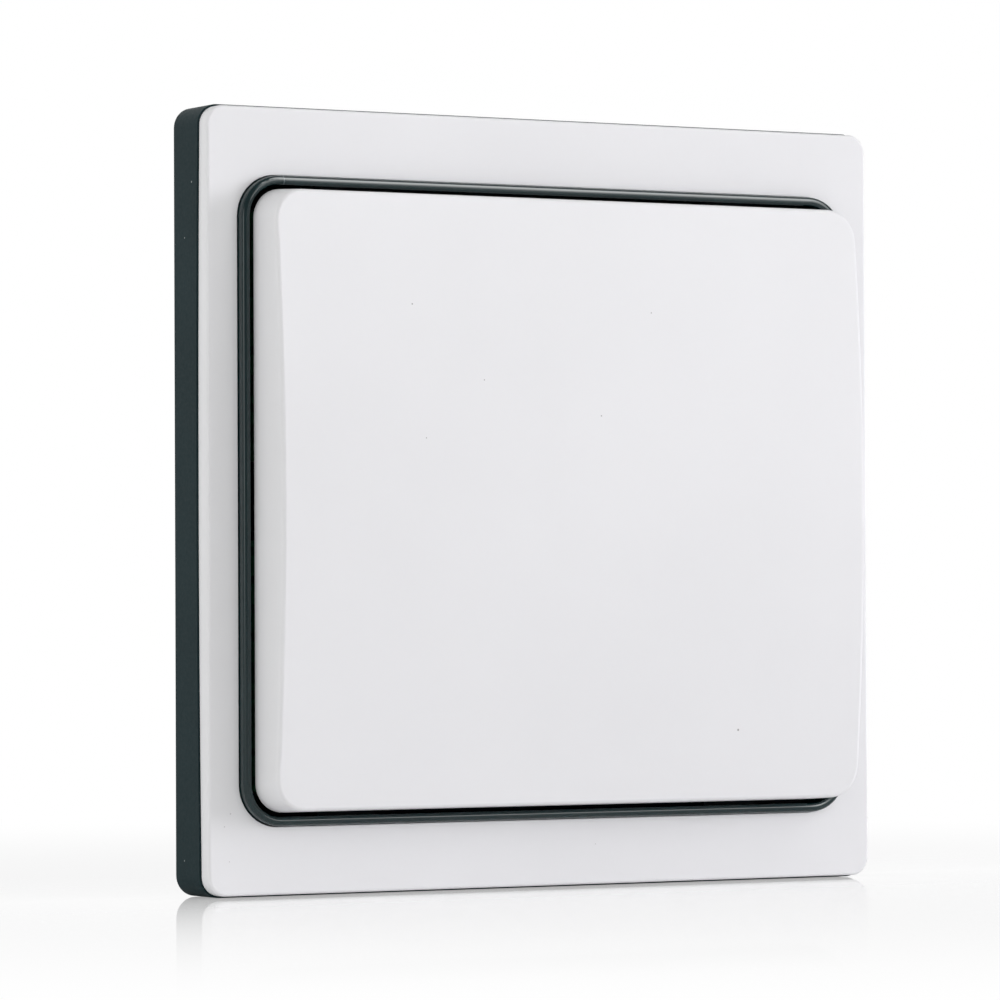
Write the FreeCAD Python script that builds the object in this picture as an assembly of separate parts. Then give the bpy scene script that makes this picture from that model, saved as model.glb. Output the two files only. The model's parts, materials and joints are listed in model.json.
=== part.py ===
"""Battery-powered wireless wall switch with one large rocker, 86 mm plate.

The switch is drawn lying on its back: X to the right, Y up the wall, Z out of
the wall, all in millimetres. Each finished piece is then stood up, so that in
the written files the wall face is the plane Y = 0, the front looks along -Y
and +Z is up. The origin is the centre of the wall face.
"""
import FreeCAD
import Part
import math
import os
from FreeCAD import Vector

# Wall plate, the overall size
plate_width = 86.0
plate_height = 86.0
plate_corner_radius = 2.3

# Back shell
shell_floor = 1.5
shell_wall = 1.8
shell_rim_middle = 5.15
shell_rim_rise = 0.5
pad_recess_width = 58.0
pad_recess_height = 20.0
pad_recess_depth = 0.3
pad_recess_offset = 24.0

# Wall screws, spaced for the standard 60.3 mm wall box
screw_spacing = 60.3
screw_slot_width = 4.2
screw_slot_length = 8.0
screw_head_room = 5.5

# Cover frame
frame_reveal = 0.22
frame_front = 7.4
frame_plate = 1.6
frame_edge_round = 0.35
frame_lip_round = 0.06
shadow_gap = 0.1
tongue_thickness = 1.0
tongue_clearance = 0.15
tongue_bottom = 3.2
bead_length = 9.0
bead_height = 0.8
bead_proud = 0.3
bead_level = 3.7
bead_pitch = 44.0
bead_root = 0.2

# Trim ring round the rocker, set in from the plate's sides and ends
border_side = 4.0
border_end = 7.7
ring_corner_radius = 4.55
ring_bead = 1.0
ring_crest = 8.6
ring_outer_round = 0.48
ring_inner_round = 0.42
ring_flange = 0.65
ring_flange_thickness = 0.8
ring_frame_clearance = 0.1

# Switch carrier
carrier_floor = 1.0
carrier_wall = 1.0
post_height = 1.0
post_radius = 2.3
pilot_radius = 0.8
hook_width = 8.0
hook_spacing = 44.0
hook_arm = 1.2
hook_nose = 0.6
hook_nose_height = 0.9
hook_nose_land = 0.2
hook_clearance = 0.15
ledge_height = 0.8
ledge_depth = 0.8
ledge_level = 2.9

# Rocker
rocker_gap = 0.4
rocker_skirt_bottom = 6.9
skirt_relief = 1.4
skirt_relief_reach = 3.6
rocker_front = 14.85
rocker_crown_drop = 1.9
rocker_wall = 1.6
rocker_face_thickness = 1.8
rocker_side_draft = 0.4
rocker_end_draft = 3.6
rocker_face_corner_radius = 3.7
rocker_edge_round = 0.45
rocker_tilt = 2.3
rib_thickness = 1.0
rib_depth = 1.6
rib_spacing = 15.0
fin_rise = 0.6
fin_length = 9.2

# Rocker pivot
pivot_level = 8.6
pin_radius = 1.5
pin_length = 1.9
pivot_clearance = 0.05
leg_thickness = 1.6
leg_width = 6.0
ear_gap = 0.15
ear_skirt_gap = 0.25
ear_thickness = 2.0
ear_width = 6.6
ear_gusset = 1.6
pin_chamfer = 0.3
stop_width = 7.0
stop_depth = 1.4
stop_spacing = 50.0
stop_clearance = 0.1

# Circuit board
board_thickness = 1.0
board_edge_gap = 1.25
board_corner_radius = 3.0
board_hole_radius = 1.15
board_screw_side_inset = 6.75
board_screw_end_inset = 6.15
board_notch_clearance = 0.5
board_notch_reach = 8.0

# Plunger switches, one under each half of the rocker
switch_end_inset = 10.4
switch_size = 7.0
switch_height = 3.0
switch_floor = 0.4
switch_cover = 0.25
switch_corner = 0.8
switch_cavity_fit = 0.15
cover_tab_width = 2.4
cover_tab_drop = 1.6
plunger_radius = 1.6
plunger_fit = 0.06
plunger_flange_radius = 2.3
plunger_flange = 0.45
plunger_bore_radius = 1.1
plunger_tip = 0.7
plunger_dome = 0.35
contact_gap = 0.05
terminal_width = 0.8
terminal_thickness = 0.3
terminal_reach = 1.2
terminal_spacing = 4.6
terminal_height = 0.9

# Coin cell and its holder
cell_radius = 10.0
cell_thickness = 3.2
cell_rim_step = 0.5
holder_leg_gap = 4.5
cell_fit = 0.25
holder_width = 24.0
holder_height = 23.0
holder_wall_height = 3.4
holder_floor = 0.6
holder_corner = 2.0
finger_notch = 9.0
contact_thickness = 0.3
contact_width = 5.0
contact_rise = 0.25
contact_tab = 2.6
contact_stand_off = 1.2
contact_lead_in = 0.4
contact_toe = 0.5
contact_slot_fit = 0.6
positive_reach = 5.0
negative_inset = 4.5
negative_bend = 2.0
cap_inset = 1.4
cell_edge_round = 0.35
holder_window_inset = 3.0

# Radio parts on the board
chip_length = 5.0
chip_width = 4.0
chip_height = 1.5
chip_edge = 0.25
chip_leg_gap = 17.0
chip_y = 7.0
lead_pitch = 1.27
lead_count = 4
lead_width = 0.42
lead_thickness = 0.2
lead_reach = 1.0
lead_shift = 0.6
can_length = 11.0
can_width = 4.6
can_height = 3.4
can_leg_gap = 16.0
can_y = -6.0
can_flange = 0.3
can_top_round = 0.5
antenna_wire_radius = 0.4
antenna_span = 24.0
antenna_rise = 2.4
antenna_bend = 1.4
antenna_side_inset = 19.75
antenna_end_inset = 3.65
chip_part_length = 2.0
chip_part_width = 1.25
chip_part_height = 0.6
chip_part_pitch = 3.6
chip_part_columns = 4
chip_part_row_gap = 7.5
chip_part_row_pitch = 3.0
capacitor_row_gap = 6.0
capacitor_rise = 0.2

# Board screws
screw_head_radius = 1.9
screw_head_height = 1.1
screw_shank_radius = 0.78
screw_length = 2.7
screw_slot = 0.5
screw_slot_span = 2.4
screw_head_round = 0.5
screw_slot_depth = 0.45

# How far a cutting body runs past what it cuts, and the smallest inner corner
cut_margin = 1.0
least_radius = 0.4

# Levels and half sizes that follow from the values above
half_width = plate_width / 2.0
half_height = plate_height / 2.0
ring_width = plate_width - 2.0 * border_side
ring_height = plate_height - 2.0 * border_end
frame_back = frame_front - frame_plate
ring_seat = frame_back - ring_flange_thickness
ring_inner_width = ring_width - 2.0 * ring_bead
ring_inner_height = ring_height - 2.0 * ring_bead
ring_inner_radius = ring_corner_radius - ring_bead
carrier_width = ring_inner_width + 2.0 * carrier_wall
carrier_height = ring_inner_height + 2.0 * carrier_wall
carrier_corner_radius = ring_inner_radius + carrier_wall
carrier_top = ring_seat
carrier_deck = shell_floor + carrier_floor
board_back = carrier_deck + post_height
board_top = board_back + board_thickness
rocker_base_width = ring_inner_width - 2.0 * rocker_gap
rocker_base_height = ring_inner_height - 2.0 * rocker_gap
rocker_base_radius = ring_inner_radius - rocker_gap
tongue_outer = shell_wall + tongue_clearance
ear_inner = (rocker_base_width / 2.0 - rocker_wall - ear_skirt_gap
             - ear_thickness)
leg_centre = ear_inner - ear_gap - leg_thickness / 2.0
leg_inner = leg_centre - leg_thickness / 2.0
board_width = ring_inner_width - 2.0 * board_edge_gap
board_height = ring_inner_height - 2.0 * (stop_depth + board_notch_clearance)
board_screw_x = board_width / 2.0 - board_screw_side_inset
board_screw_y = board_height / 2.0 - board_screw_end_inset
switch_reach = board_height / 2.0 - switch_end_inset
cell_centre_x = -(leg_inner - holder_leg_gap - holder_width / 2.0)
chip_x = leg_inner - chip_leg_gap
can_x = leg_inner - can_leg_gap
antenna_x = board_width / 2.0 - antenna_side_inset
antenna_y = board_height / 2.0 - antenna_end_inset
tilt = math.radians(rocker_tilt)
plunger_travel = switch_reach * math.sin(tilt)
skirt_drop = rocker_base_height / 2.0 * math.sin(tilt)
stop_top = rocker_skirt_bottom - skirt_drop - stop_clearance
switch_top = board_top + switch_height
plunger_top = pivot_level - contact_gap


def outline(width, height, radius, level=0.0):
    """Closed wire of a rectangle with rounded corners, centred on the Z axis."""
    a = width / 2.0
    b = height / 2.0
    k = radius * (1.0 - math.sqrt(0.5))
    corners = [(a, b, 1, 1), (-a, b, -1, 1), (-a, -b, -1, -1), (a, -b, 1, -1)]
    arcs = []
    for x, y, sx, sy in corners:
        on_side = Vector(x, y - sy * radius, level)
        on_end = Vector(x - sx * radius, y, level)
        middle = Vector(x - sx * k, y - sy * k, level)
        start, finish = (on_side, on_end) if sx * sy > 0 else (on_end, on_side)
        arcs.append((start, middle, finish))
    edges = []
    for i, (start, middle, finish) in enumerate(arcs):
        edges.append(Part.Arc(start, middle, finish).toShape())
        edges.append(Part.makeLine(finish, arcs[(i + 1) % 4][0]))
    return Part.Wire(edges)


def slab(width, height, radius, bottom, top):
    """Rounded rectangular plate between two levels."""
    face = Part.Face(outline(width, height, radius, bottom))
    return face.extrude(Vector(0, 0, top - bottom))


def hoop(width, height, radius, thickness, bottom, top):
    """Rounded rectangular wall of even thickness, measured inwards."""
    inner_radius = max(radius - thickness, least_radius)
    outer = slab(width, height, radius, bottom, top)
    inner = slab(width - 2 * thickness, height - 2 * thickness, inner_radius,
                 bottom, top)
    return outer.cut(inner)


def block(x, y, bottom, length, depth, height):
    """Rectangular block centred at x, y and standing on the level given."""
    corner = Vector(x - length / 2.0, y - depth / 2.0, bottom)
    return Part.makeBox(length, depth, height, corner)


def rod(x, y, bottom, radius, height):
    """Round post along Z."""
    return Part.makeCylinder(radius, height, Vector(x, y, bottom))


def slot(x, y, length, width, bottom, height):
    """Straight slot along X with round ends."""
    half = (length - width) / 2.0
    body = block(x, y, bottom, 2 * half, width, height)
    for side in (-1, 1):
        body = body.fuse(rod(x + side * half, y, bottom, width / 2.0, height))
    return body.removeSplitter()


def level_edges(shape, level):
    """Edges that lie wholly in the plane Z = level."""
    found = []
    for edge in shape.Edges:
        box = edge.BoundBox
        if abs(box.ZMin - level) < 1e-4 and abs(box.ZMax - level) < 1e-4:
            found.append(edge)
    return found


def rim_edges(shape, level, width, height):
    """Edges at a level that stay within a centred rectangle."""
    chosen = []
    for edge in level_edges(shape, level):
        box = edge.BoundBox
        reach_x = max(abs(box.XMin), abs(box.XMax))
        reach_y = max(abs(box.YMin), abs(box.YMax))
        if reach_x < width / 2.0 + 1e-3 and reach_y < height / 2.0 + 1e-3:
            chosen.append(edge)
    return chosen


def corner_points(x, y):
    """The four mirror places of a point."""
    return [(x, y), (-x, y), (-x, -y), (x, -y)]


def parting_body(offset):
    """Everything in front of the arched line where base and frame meet."""
    reach = half_height
    radius = (reach ** 2 + shell_rim_rise ** 2) / (2.0 * shell_rim_rise)
    centre = shell_rim_middle + offset + radius
    start = Vector(-half_width - cut_margin, 0, centre)
    length = plate_width + 2.0 * cut_margin
    return Part.makeCylinder(radius, length, start, Vector(1, 0, 0))


def bead_places():
    """Centres and directions of the eight snap beads round the tongue."""
    across = half_width - tongue_outer
    along = half_height - tongue_outer
    places = []
    for side in (-1, 1):
        for shift in (-bead_pitch / 2.0, bead_pitch / 2.0):
            places.append((shift, side * along, 0.0, side))
            places.append((side * across, shift, side, 0.0))
    return places


def snap_bead(place, grow):
    """One snap bead: a half-round ridge along the tongue."""
    x, y, nx, ny = place
    length = bead_length + 2.0 * grow
    rise = bead_proud + grow
    half = bead_height / 2.0 + grow
    back = Vector(-ny, nx, 0)
    base = Vector(x, y, bead_level)
    inward = Vector(-nx * bead_root, -ny * bead_root, 0)
    outward = Vector(nx * rise, ny * rise, 0)
    start = base - back * (length / 2.0)
    profile = Part.makePolygon([
        start + inward + Vector(0, 0, -half),
        start + Vector(0, 0, -half),
        start + outward,
        start + Vector(0, 0, half),
        start + inward + Vector(0, 0, half),
        start + inward + Vector(0, 0, -half),
    ])
    return Part.Face(profile).extrude(back * length)


def back_shell():
    """Dark base: wall floor, arched outer wall, hooks and screw slots."""
    body = slab(plate_width, plate_height, plate_corner_radius, 0.0,
                shell_rim_middle + shell_rim_rise)
    room = slab(plate_width - 2 * shell_wall, plate_height - 2 * shell_wall,
                max(plate_corner_radius - shell_wall, least_radius), shell_floor, frame_front)
    body = body.cut(room).cut(parting_body(0.0))
    for side in (-1, 1):
        body = body.cut(slot(side * screw_spacing / 2.0, 0.0, screw_slot_length,
                             screw_slot_width, 0.0, shell_floor))
        recess = slab(pad_recess_width, pad_recess_height, 2.0, 0.0, pad_recess_depth)
        recess.translate(Vector(0, side * pad_recess_offset, 0))
        body = body.cut(recess)
    for place in bead_places():
        body = body.cut(snap_bead(place, tongue_clearance))
    for x in (-hook_spacing / 2.0, hook_spacing / 2.0):
        for side in (-1, 1):
            body = body.fuse(snap_hook(x, side))
    return body.removeSplitter()


def snap_hook(x, side):
    """Cantilever hook that holds the carrier down by its ledge."""
    face = carrier_height / 2.0 + ledge_depth + hook_clearance
    catch = ledge_level + ledge_height + hook_clearance
    top = catch + hook_nose_height
    points = [
        (face, shell_floor),
        (face, catch),
        (face - hook_nose, catch),
        (face - hook_nose, catch + hook_nose_land),
        (face, top),
        (face + hook_arm, top),
        (face + hook_arm, shell_floor),
        (face, shell_floor),
    ]
    wire = Part.makePolygon([
        Vector(x - hook_width / 2.0, side * reach, level) for reach, level in points
    ])
    return Part.Face(wire).extrude(Vector(hook_width, 0, 0))


def cover_frame():
    """White frame: flat front, rounded edges, tongue with snap beads."""
    width = plate_width - 2.0 * frame_reveal
    height = plate_height - 2.0 * frame_reveal
    radius = plate_corner_radius - frame_reveal
    rim = slab(width, height, radius, shell_rim_middle - cut_margin, frame_front)
    rounded = rim.makeFillet(frame_edge_round, level_edges(rim, frame_front))
    below = slab(plate_width - 2 * tongue_outer, plate_height - 2 * tongue_outer,
                 plate_corner_radius - frame_reveal, tongue_bottom, frame_front)
    above_parting = rounded.common(parting_body(shadow_gap))
    inside = rounded.common(below)
    body = above_parting.fuse(inside)
    tongue = hoop(plate_width - 2 * tongue_outer, plate_height - 2 * tongue_outer,
                  plate_corner_radius - frame_reveal, tongue_thickness,
                  tongue_bottom, frame_back)
    pocket_width = plate_width - 2 * (tongue_outer + tongue_thickness)
    pocket_height = plate_height - 2 * (tongue_outer + tongue_thickness)
    pocket = slab(pocket_width, pocket_height, 1.2, 0.0, frame_back)
    body = body.fuse(tongue).cut(pocket)
    gap = 2.0 * ring_frame_clearance
    opening = slab(ring_width + gap, ring_height + gap,
                   ring_corner_radius + ring_frame_clearance, 0.0, frame_front + cut_margin)
    body = body.cut(opening)
    for place in bead_places():
        body = body.fuse(snap_bead(place, 0.0))
    body = body.removeSplitter()
    lip = rim_edges(body, frame_front, ring_width + gap, ring_height + gap)
    return body.makeFillet(frame_lip_round, lip)


def trim_ring():
    """Dark ring: rounded bead through the frame, flange trapped beneath it."""
    bead = slab(ring_width, ring_height, ring_corner_radius, ring_seat, ring_crest)
    bead = bead.makeFillet(ring_outer_round, level_edges(bead, ring_crest))
    flange = slab(ring_width + 2 * ring_flange, ring_height + 2 * ring_flange,
                  ring_corner_radius + ring_flange, ring_seat, frame_back)
    hole = slab(ring_inner_width, ring_inner_height, ring_inner_radius,
                ring_seat - cut_margin, ring_crest + cut_margin)
    body = bead.fuse(flange).cut(hole)
    lip = rim_edges(body, ring_crest, ring_inner_width, ring_inner_height)
    return body.makeFillet(ring_inner_round, lip).removeSplitter()


def pivot_ear(side):
    """Bearing ear: a round-topped tab with the pivot bore through it."""
    start = side * ear_inner
    length = side * ear_thickness
    radius = ear_width / 2.0
    centre = Vector(start, 0, pivot_level)
    along = Vector(side, 0, 0)
    foot = block(start + length / 2.0, 0.0, carrier_deck, ear_thickness, ear_width,
                 pivot_level - carrier_deck)
    eye = Part.makeCylinder(radius, ear_thickness, centre, along)
    bore = Part.makeCylinder(pin_radius + pivot_clearance, ear_thickness, centre, along)
    gusset = Part.Face(Part.makePolygon([
        Vector(start + length, -rib_thickness / 2.0, carrier_deck),
        Vector(start + length + side * ear_gusset, -rib_thickness / 2.0, carrier_deck),
        Vector(start + length, -rib_thickness / 2.0, pivot_level - radius),
        Vector(start + length, -rib_thickness / 2.0, carrier_deck),
    ])).extrude(Vector(0, rib_thickness, 0))
    return foot.fuse(eye).fuse(gusset).cut(bore)


def carrier():
    """Dark tub: floor, wall under the ring, posts, ears, ledges and stops."""
    body = slab(carrier_width, carrier_height, carrier_corner_radius,
                shell_floor, carrier_top)
    room = slab(ring_inner_width, ring_inner_height, ring_inner_radius,
                carrier_deck, carrier_top)
    body = body.cut(room)
    for x, y in corner_points(board_screw_x, board_screw_y):
        body = body.fuse(rod(x, y, carrier_deck, post_radius, post_height))
    for y in (-board_screw_y, board_screw_y):
        body = body.fuse(rod(0.0, y, carrier_deck, post_radius, post_height))
    for side in (-1, 1):
        body = body.cut(screw_window(side))
        body = body.fuse(pivot_ear(side))
        for x in (-stop_spacing / 2.0, stop_spacing / 2.0):
            y = side * (ring_inner_height / 2.0 - stop_depth / 2.0)
            body = body.fuse(block(x, y, carrier_deck, stop_width, stop_depth,
                                   stop_top - carrier_deck))
        for x in (-hook_spacing / 2.0, hook_spacing / 2.0):
            y = side * (carrier_height / 2.0 + ledge_depth / 2.0)
            body = body.fuse(block(x, y, ledge_level, hook_width, ledge_depth,
                                   ledge_height))
    for x, y in corner_points(board_screw_x, board_screw_y):
        body = body.cut(rod(x, y, shell_floor, pilot_radius, carrier_floor + post_height))
    return body.removeSplitter()


def screw_window(side):
    """Opening in the carrier's floor for a wall screw's head, up to the ear."""
    inner = screw_spacing / 2.0 - screw_head_room
    length = ear_inner - inner
    return block(side * (inner + length / 2.0), 0.0, shell_floor, length,
                 2.0 * screw_head_room, carrier_floor)


def slab_at(x, y, width, height, radius, bottom, top):
    """Rounded plate moved to x, y."""
    body = slab(width, height, radius, bottom, top)
    body.translate(Vector(x, y, 0))
    return body


def rocker_half(level):
    """Half width and half height of the rocker's outside at a level."""
    rise = level - rocker_skirt_bottom
    side = math.tan(math.radians(rocker_side_draft)) * rise
    end = math.tan(math.radians(rocker_end_draft)) * rise
    return rocker_base_width / 2.0 - side, rocker_base_height / 2.0 - end


def rocker_block(inset, bottom, top):
    """Drafted block of the rocker's outline, inset on every side."""
    wires = []
    for level in (bottom, top):
        a, b = rocker_half(level)
        share = (level - rocker_skirt_bottom) / (rocker_front - rocker_skirt_bottom)
        radius = rocker_base_radius
        radius += share * (rocker_face_corner_radius - rocker_base_radius)
        radius = max(radius - inset, least_radius)
        wires.append(outline(2 * (a - inset), 2 * (b - inset), radius, level))
    return Part.makeLoft(wires, True, True)


def crown_body(front):
    """Long cylinder whose front gives the rocker its crown."""
    reach = rocker_half(rocker_front - rocker_crown_drop)[1]
    radius = (reach ** 2 + rocker_crown_drop ** 2) / (2.0 * rocker_crown_drop)
    start = Vector(-half_width, 0, front - radius)
    body = Part.makeCylinder(radius, plate_width, start, Vector(1, 0, 0))
    body.rotate(start, Vector(1, 0, 0), 180)
    return body


def rocker_leg(side):
    """Sprung leg with the pivot pin that snaps into the ear."""
    pin_start = Vector(side * (leg_centre + leg_thickness / 2.0), 0, pivot_level)
    pin = Part.makeCylinder(pin_radius, pin_length, pin_start, Vector(side, 0, 0))
    tip = [e for e in pin.Edges if abs(e.BoundBox.XMax) + abs(e.BoundBox.XMin)
           > 2.0 * (abs(pin_start.x) + pin_length) - pin_chamfer]
    pin = pin.makeChamfer(pin_chamfer, tip)
    foot = Part.makeCylinder(leg_width / 2.0, leg_thickness,
                             Vector(side * (leg_centre - leg_thickness / 2.0), 0,
                                    pivot_level), Vector(side, 0, 0))
    leg = block(side * leg_centre, 0.0, pivot_level, leg_thickness, leg_width,
                rocker_front - pivot_level)
    return leg.fuse(foot).fuse(pin)


def rocker():
    """White rocker: crowned face, drafted skirt, ribs, pushers and pivot legs."""
    top = rocker_front + cut_margin
    outside = rocker_block(0.0, rocker_skirt_bottom, top).common(crown_body(rocker_front))
    crown = max(outside.Faces, key=lambda f: f.CenterOfMass.z)
    outside = outside.makeFillet(rocker_edge_round, crown.Edges)
    inner_crown = crown_body(rocker_front - rocker_face_thickness)
    inside = rocker_block(rocker_wall, rocker_skirt_bottom, top).common(inner_crown)
    shell = outside.cut(inside)
    for side in (-1, 1):
        shell = shell.cut(block(side * rocker_base_width / 2.0, 0.0, rocker_skirt_bottom,
                                2.0 * skirt_relief_reach, plate_height, skirt_relief))
    inner_half = ring_inner_width / 2.0 - rocker_gap - rocker_wall
    rib_bottom = rocker_front - rocker_crown_drop - rocker_face_thickness - rib_depth
    webs = []
    for i in (-2, -1, 1, 2):
        webs.append(block(0.0, i * rib_spacing, rib_bottom, 2 * inner_half,
                          rib_thickness, rocker_front - rib_bottom))
    for x in (-rib_spacing, 0.0, rib_spacing):
        webs.append(block(x, 0.0, rib_bottom, rib_thickness, rocker_base_height,
                          rocker_front - rib_bottom))
    for side in (-1, 1):
        webs.append(rod(0.0, side * switch_reach, pivot_level, plunger_flange_radius,
                        rocker_front - pivot_level))
        webs.append(block(0.0, side * switch_reach, pivot_level + fin_rise, fin_length,
                          rib_thickness, rocker_front - pivot_level - fin_rise))
        webs.append(rocker_leg(side))
    inner = webs[0]
    for web in webs[1:]:
        inner = inner.fuse(web)
    limit = rocker_block(rocker_wall / 2.0, pivot_level - leg_width, top)
    inner = inner.common(limit.common(crown_body(rocker_front - rocker_wall / 2.0)))
    return shell.fuse(inner).removeSplitter()


def circuit_board():
    """Board with four screw holes, notched round the ears and the rocker's legs."""
    body = slab(board_width, board_height, board_corner_radius, board_back, board_top)
    for side in (-1, 1):
        inner = leg_inner - board_notch_clearance
        notch = block(side * (inner + board_notch_reach / 2.0), 0.0, board_back,
                      board_notch_reach, ear_width + 4.0 * board_notch_clearance,
                      board_thickness)
        body = body.cut(notch)
    for x, y in corner_points(board_screw_x, board_screw_y):
        body = body.cut(rod(x, y, board_back, board_hole_radius, board_thickness))
    return body


def board_screws():
    """Four cross-slotted pan head screws that clamp the board to its posts."""
    screws = []
    for x, y in corner_points(board_screw_x, board_screw_y):
        shank = rod(x, y, board_top - screw_length, screw_shank_radius, screw_length)
        head = rod(x, y, board_top, screw_head_radius, screw_head_height)
        head = head.makeFillet(screw_head_round,
                               level_edges(head, board_top + screw_head_height))
        body = head.fuse(shank)
        floor = board_top + screw_head_height - screw_slot_depth
        body = body.cut(block(x, y, floor, screw_slot_span, screw_slot, screw_slot_depth))
        body = body.cut(block(x, y, floor, screw_slot, screw_slot_span, screw_slot_depth))
        screws.append(body)
    return Part.makeCompound(screws)


def switch_body(y):
    """Moulded base of a plunger switch with its four terminals."""
    top = switch_top - switch_cover
    body = slab_at(0.0, y, switch_size, switch_size, switch_corner, board_top, top)
    cavity = rod(0.0, y, board_top + switch_floor, plunger_flange_radius + switch_cavity_fit,
                 switch_height)
    return body.cut(cavity)


def switch_cover_plate(y):
    """Stamped cover that keeps the plunger in its switch."""
    bottom = switch_top - switch_cover
    plate = slab_at(0.0, y, switch_size, switch_size, switch_corner, bottom, switch_top)
    plate = plate.cut(rod(0.0, y, bottom, plunger_radius + plunger_fit, switch_cover))
    for x in (-1, 1):
        tab = block(x * (switch_size / 2.0 + switch_cover / 2.0), y,
                    switch_top - cover_tab_drop, switch_cover, cover_tab_width,
                    cover_tab_drop)
        plate = plate.fuse(tab)
    return plate.removeSplitter()


def switch_plunger(y):
    """Hollow plunger: domed tip, stem and the flange that stops it."""
    floor = board_top + switch_floor
    flange_top = switch_top - switch_cover - plunger_travel - contact_gap
    flange_bottom = flange_top - plunger_flange
    shoulder = plunger_top - plunger_dome
    rise = plunger_dome
    radius = (plunger_radius ** 2 + rise ** 2) / (2.0 * rise)
    middle = Vector(plunger_radius / 2.0, 0,
                    plunger_top - radius + math.sqrt(radius ** 2 - plunger_radius ** 2 / 4))
    bore_top = plunger_top - plunger_tip
    edges = [
        Part.Arc(Vector(0, 0, plunger_top), middle,
                 Vector(plunger_radius, 0, shoulder)).toShape(),
        Part.makePolygon([
            Vector(plunger_radius, 0, shoulder),
            Vector(plunger_radius, 0, flange_top),
            Vector(plunger_flange_radius, 0, flange_top),
            Vector(plunger_flange_radius, 0, flange_bottom),
            Vector(plunger_bore_radius, 0, flange_bottom),
            Vector(plunger_bore_radius, 0, bore_top),
            Vector(0, 0, bore_top),
            Vector(0, 0, plunger_top),
        ]),
    ]
    wire = Part.Wire(edges[0].Edges + edges[1].Edges)
    body = Part.Face(wire).revolve(Vector(0, 0, 0), Vector(0, 0, 1), 360)
    body.translate(Vector(0, y, 0))
    if flange_bottom - plunger_travel < floor:
        print("plunger flange reaches the switch floor")
    return body


def switch_terminals():
    """Stamped terminals: two on each side of both switches, bent out onto the board."""
    terminals = []
    t = terminal_thickness
    for half in (-1, 1):
        for row in (-1, 1):
            y = half * switch_reach + row * terminal_spacing / 2.0
            for side in (-1, 1):
                face = side * switch_size / 2.0
                foot = block(face + side * terminal_reach / 2.0, y, board_top,
                             terminal_reach, terminal_width, t)
                leg = block(face + side * t / 2.0, y, board_top, t, terminal_width,
                            terminal_height)
                terminals.append(foot.fuse(leg).removeSplitter())
    return Part.makeCompound(terminals)


def cell_holder():
    """Open tray round the coin cell with a finger notch."""
    body = slab_at(cell_centre_x, 0.0, holder_width, holder_height, holder_corner,
                   board_top, board_top + holder_wall_height)
    well = rod(cell_centre_x, 0.0, board_top + holder_floor, cell_radius + cell_fit,
               holder_wall_height)
    body = body.cut(well)
    window = rod(cell_centre_x, 0.0, board_top, cell_radius - holder_window_inset,
                 holder_floor)
    body = body.cut(window)
    notch_y = -holder_height / 2.0
    body = body.cut(block(cell_centre_x, notch_y, board_top + holder_floor,
                          finger_notch, finger_notch, holder_wall_height))
    slot_x = cell_centre_x + holder_width / 2.0
    body = body.cut(block(slot_x, 0.0, board_top + holder_floor,
                          holder_width / 2.0, contact_width + contact_slot_fit,
                          holder_wall_height))
    return body.removeSplitter()


def coin_cell():
    """Coin cell: the can and its narrower negative cap, as one sealed body."""
    bottom = board_top + holder_floor + contact_rise
    cap = rod(cell_centre_x, 0.0, bottom, cell_radius - cap_inset, cell_rim_step)
    can = rod(cell_centre_x, 0.0, bottom + cell_rim_step, cell_radius,
              cell_thickness - cell_rim_step)
    can = can.makeFillet(cell_edge_round, level_edges(can, bottom + cell_thickness))
    return cap.fuse(can).removeSplitter()


def bent_strip(points, width):
    """Sheet metal strip: a profile in X and Z given its thickness along Y."""
    wire = Part.makePolygon([Vector(x, -width / 2.0, z) for x, z in points])
    return Part.Face(wire).extrude(Vector(0, width, 0))


def cell_contact_positive():
    """Spring strip that rises beside the cell and presses on its can."""
    t = contact_thickness
    cell_top = board_top + holder_floor + contact_rise + cell_thickness
    outer = cell_centre_x + holder_width / 2.0 + contact_stand_off
    inner = cell_centre_x + positive_reach
    press = inner + negative_bend
    foot = outer + contact_tab
    points = [
        (foot, board_top),
        (foot, board_top + t),
        (outer + t, board_top + t),
        (outer + t, cell_top + t + contact_lead_in),
        (press, cell_top + t),
        (inner, cell_top + t + contact_toe),
        (inner, cell_top + contact_toe),
        (press, cell_top),
        (outer, cell_top + contact_lead_in),
        (outer, board_top),
        (foot, board_top),
    ]
    return bent_strip(points, contact_width)


def cell_contact_negative():
    """Contact strip under the cell, bowed up to the cap."""
    t = contact_thickness
    low = board_top
    high = board_top + holder_floor + contact_rise - t
    left = cell_centre_x - cell_radius + negative_inset
    right = cell_centre_x + cell_radius - negative_inset
    bend = negative_bend
    points = [
        (left, low),
        (left + bend, low),
        (left + 2 * bend, high),
        (right - 2 * bend, high),
        (right - bend, low),
        (right, low),
        (right, low + t),
        (right - bend, low + t),
        (right - 2 * bend, high + t),
        (left + 2 * bend, high + t),
        (left + bend, low + t),
        (left, low + t),
        (left, low),
    ]
    return bent_strip(points, contact_width)


def radio_chip():
    """Encoder and radio chip: moulded body with four leads a side."""
    body = block(chip_x, chip_y, board_top + lead_thickness, chip_length, chip_width,
                 chip_height)
    body = body.makeChamfer(chip_edge,
                            level_edges(body, board_top + lead_thickness + chip_height))
    first = -(lead_count - 1) / 2.0
    for i in range(lead_count):
        x = chip_x + (first + i) * lead_pitch
        for side in (-1, 1):
            y = chip_y + side * chip_width / 2.0
            foot = block(x, y + side * lead_shift, board_top, lead_width,
                         lead_reach, lead_thickness)
            knee = block(x, y + side * lead_thickness / 2.0, board_top, lead_width,
                         lead_thickness, chip_height / 2.0 + lead_thickness)
            body = body.fuse(foot).fuse(knee)
    return body.removeSplitter()


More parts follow.
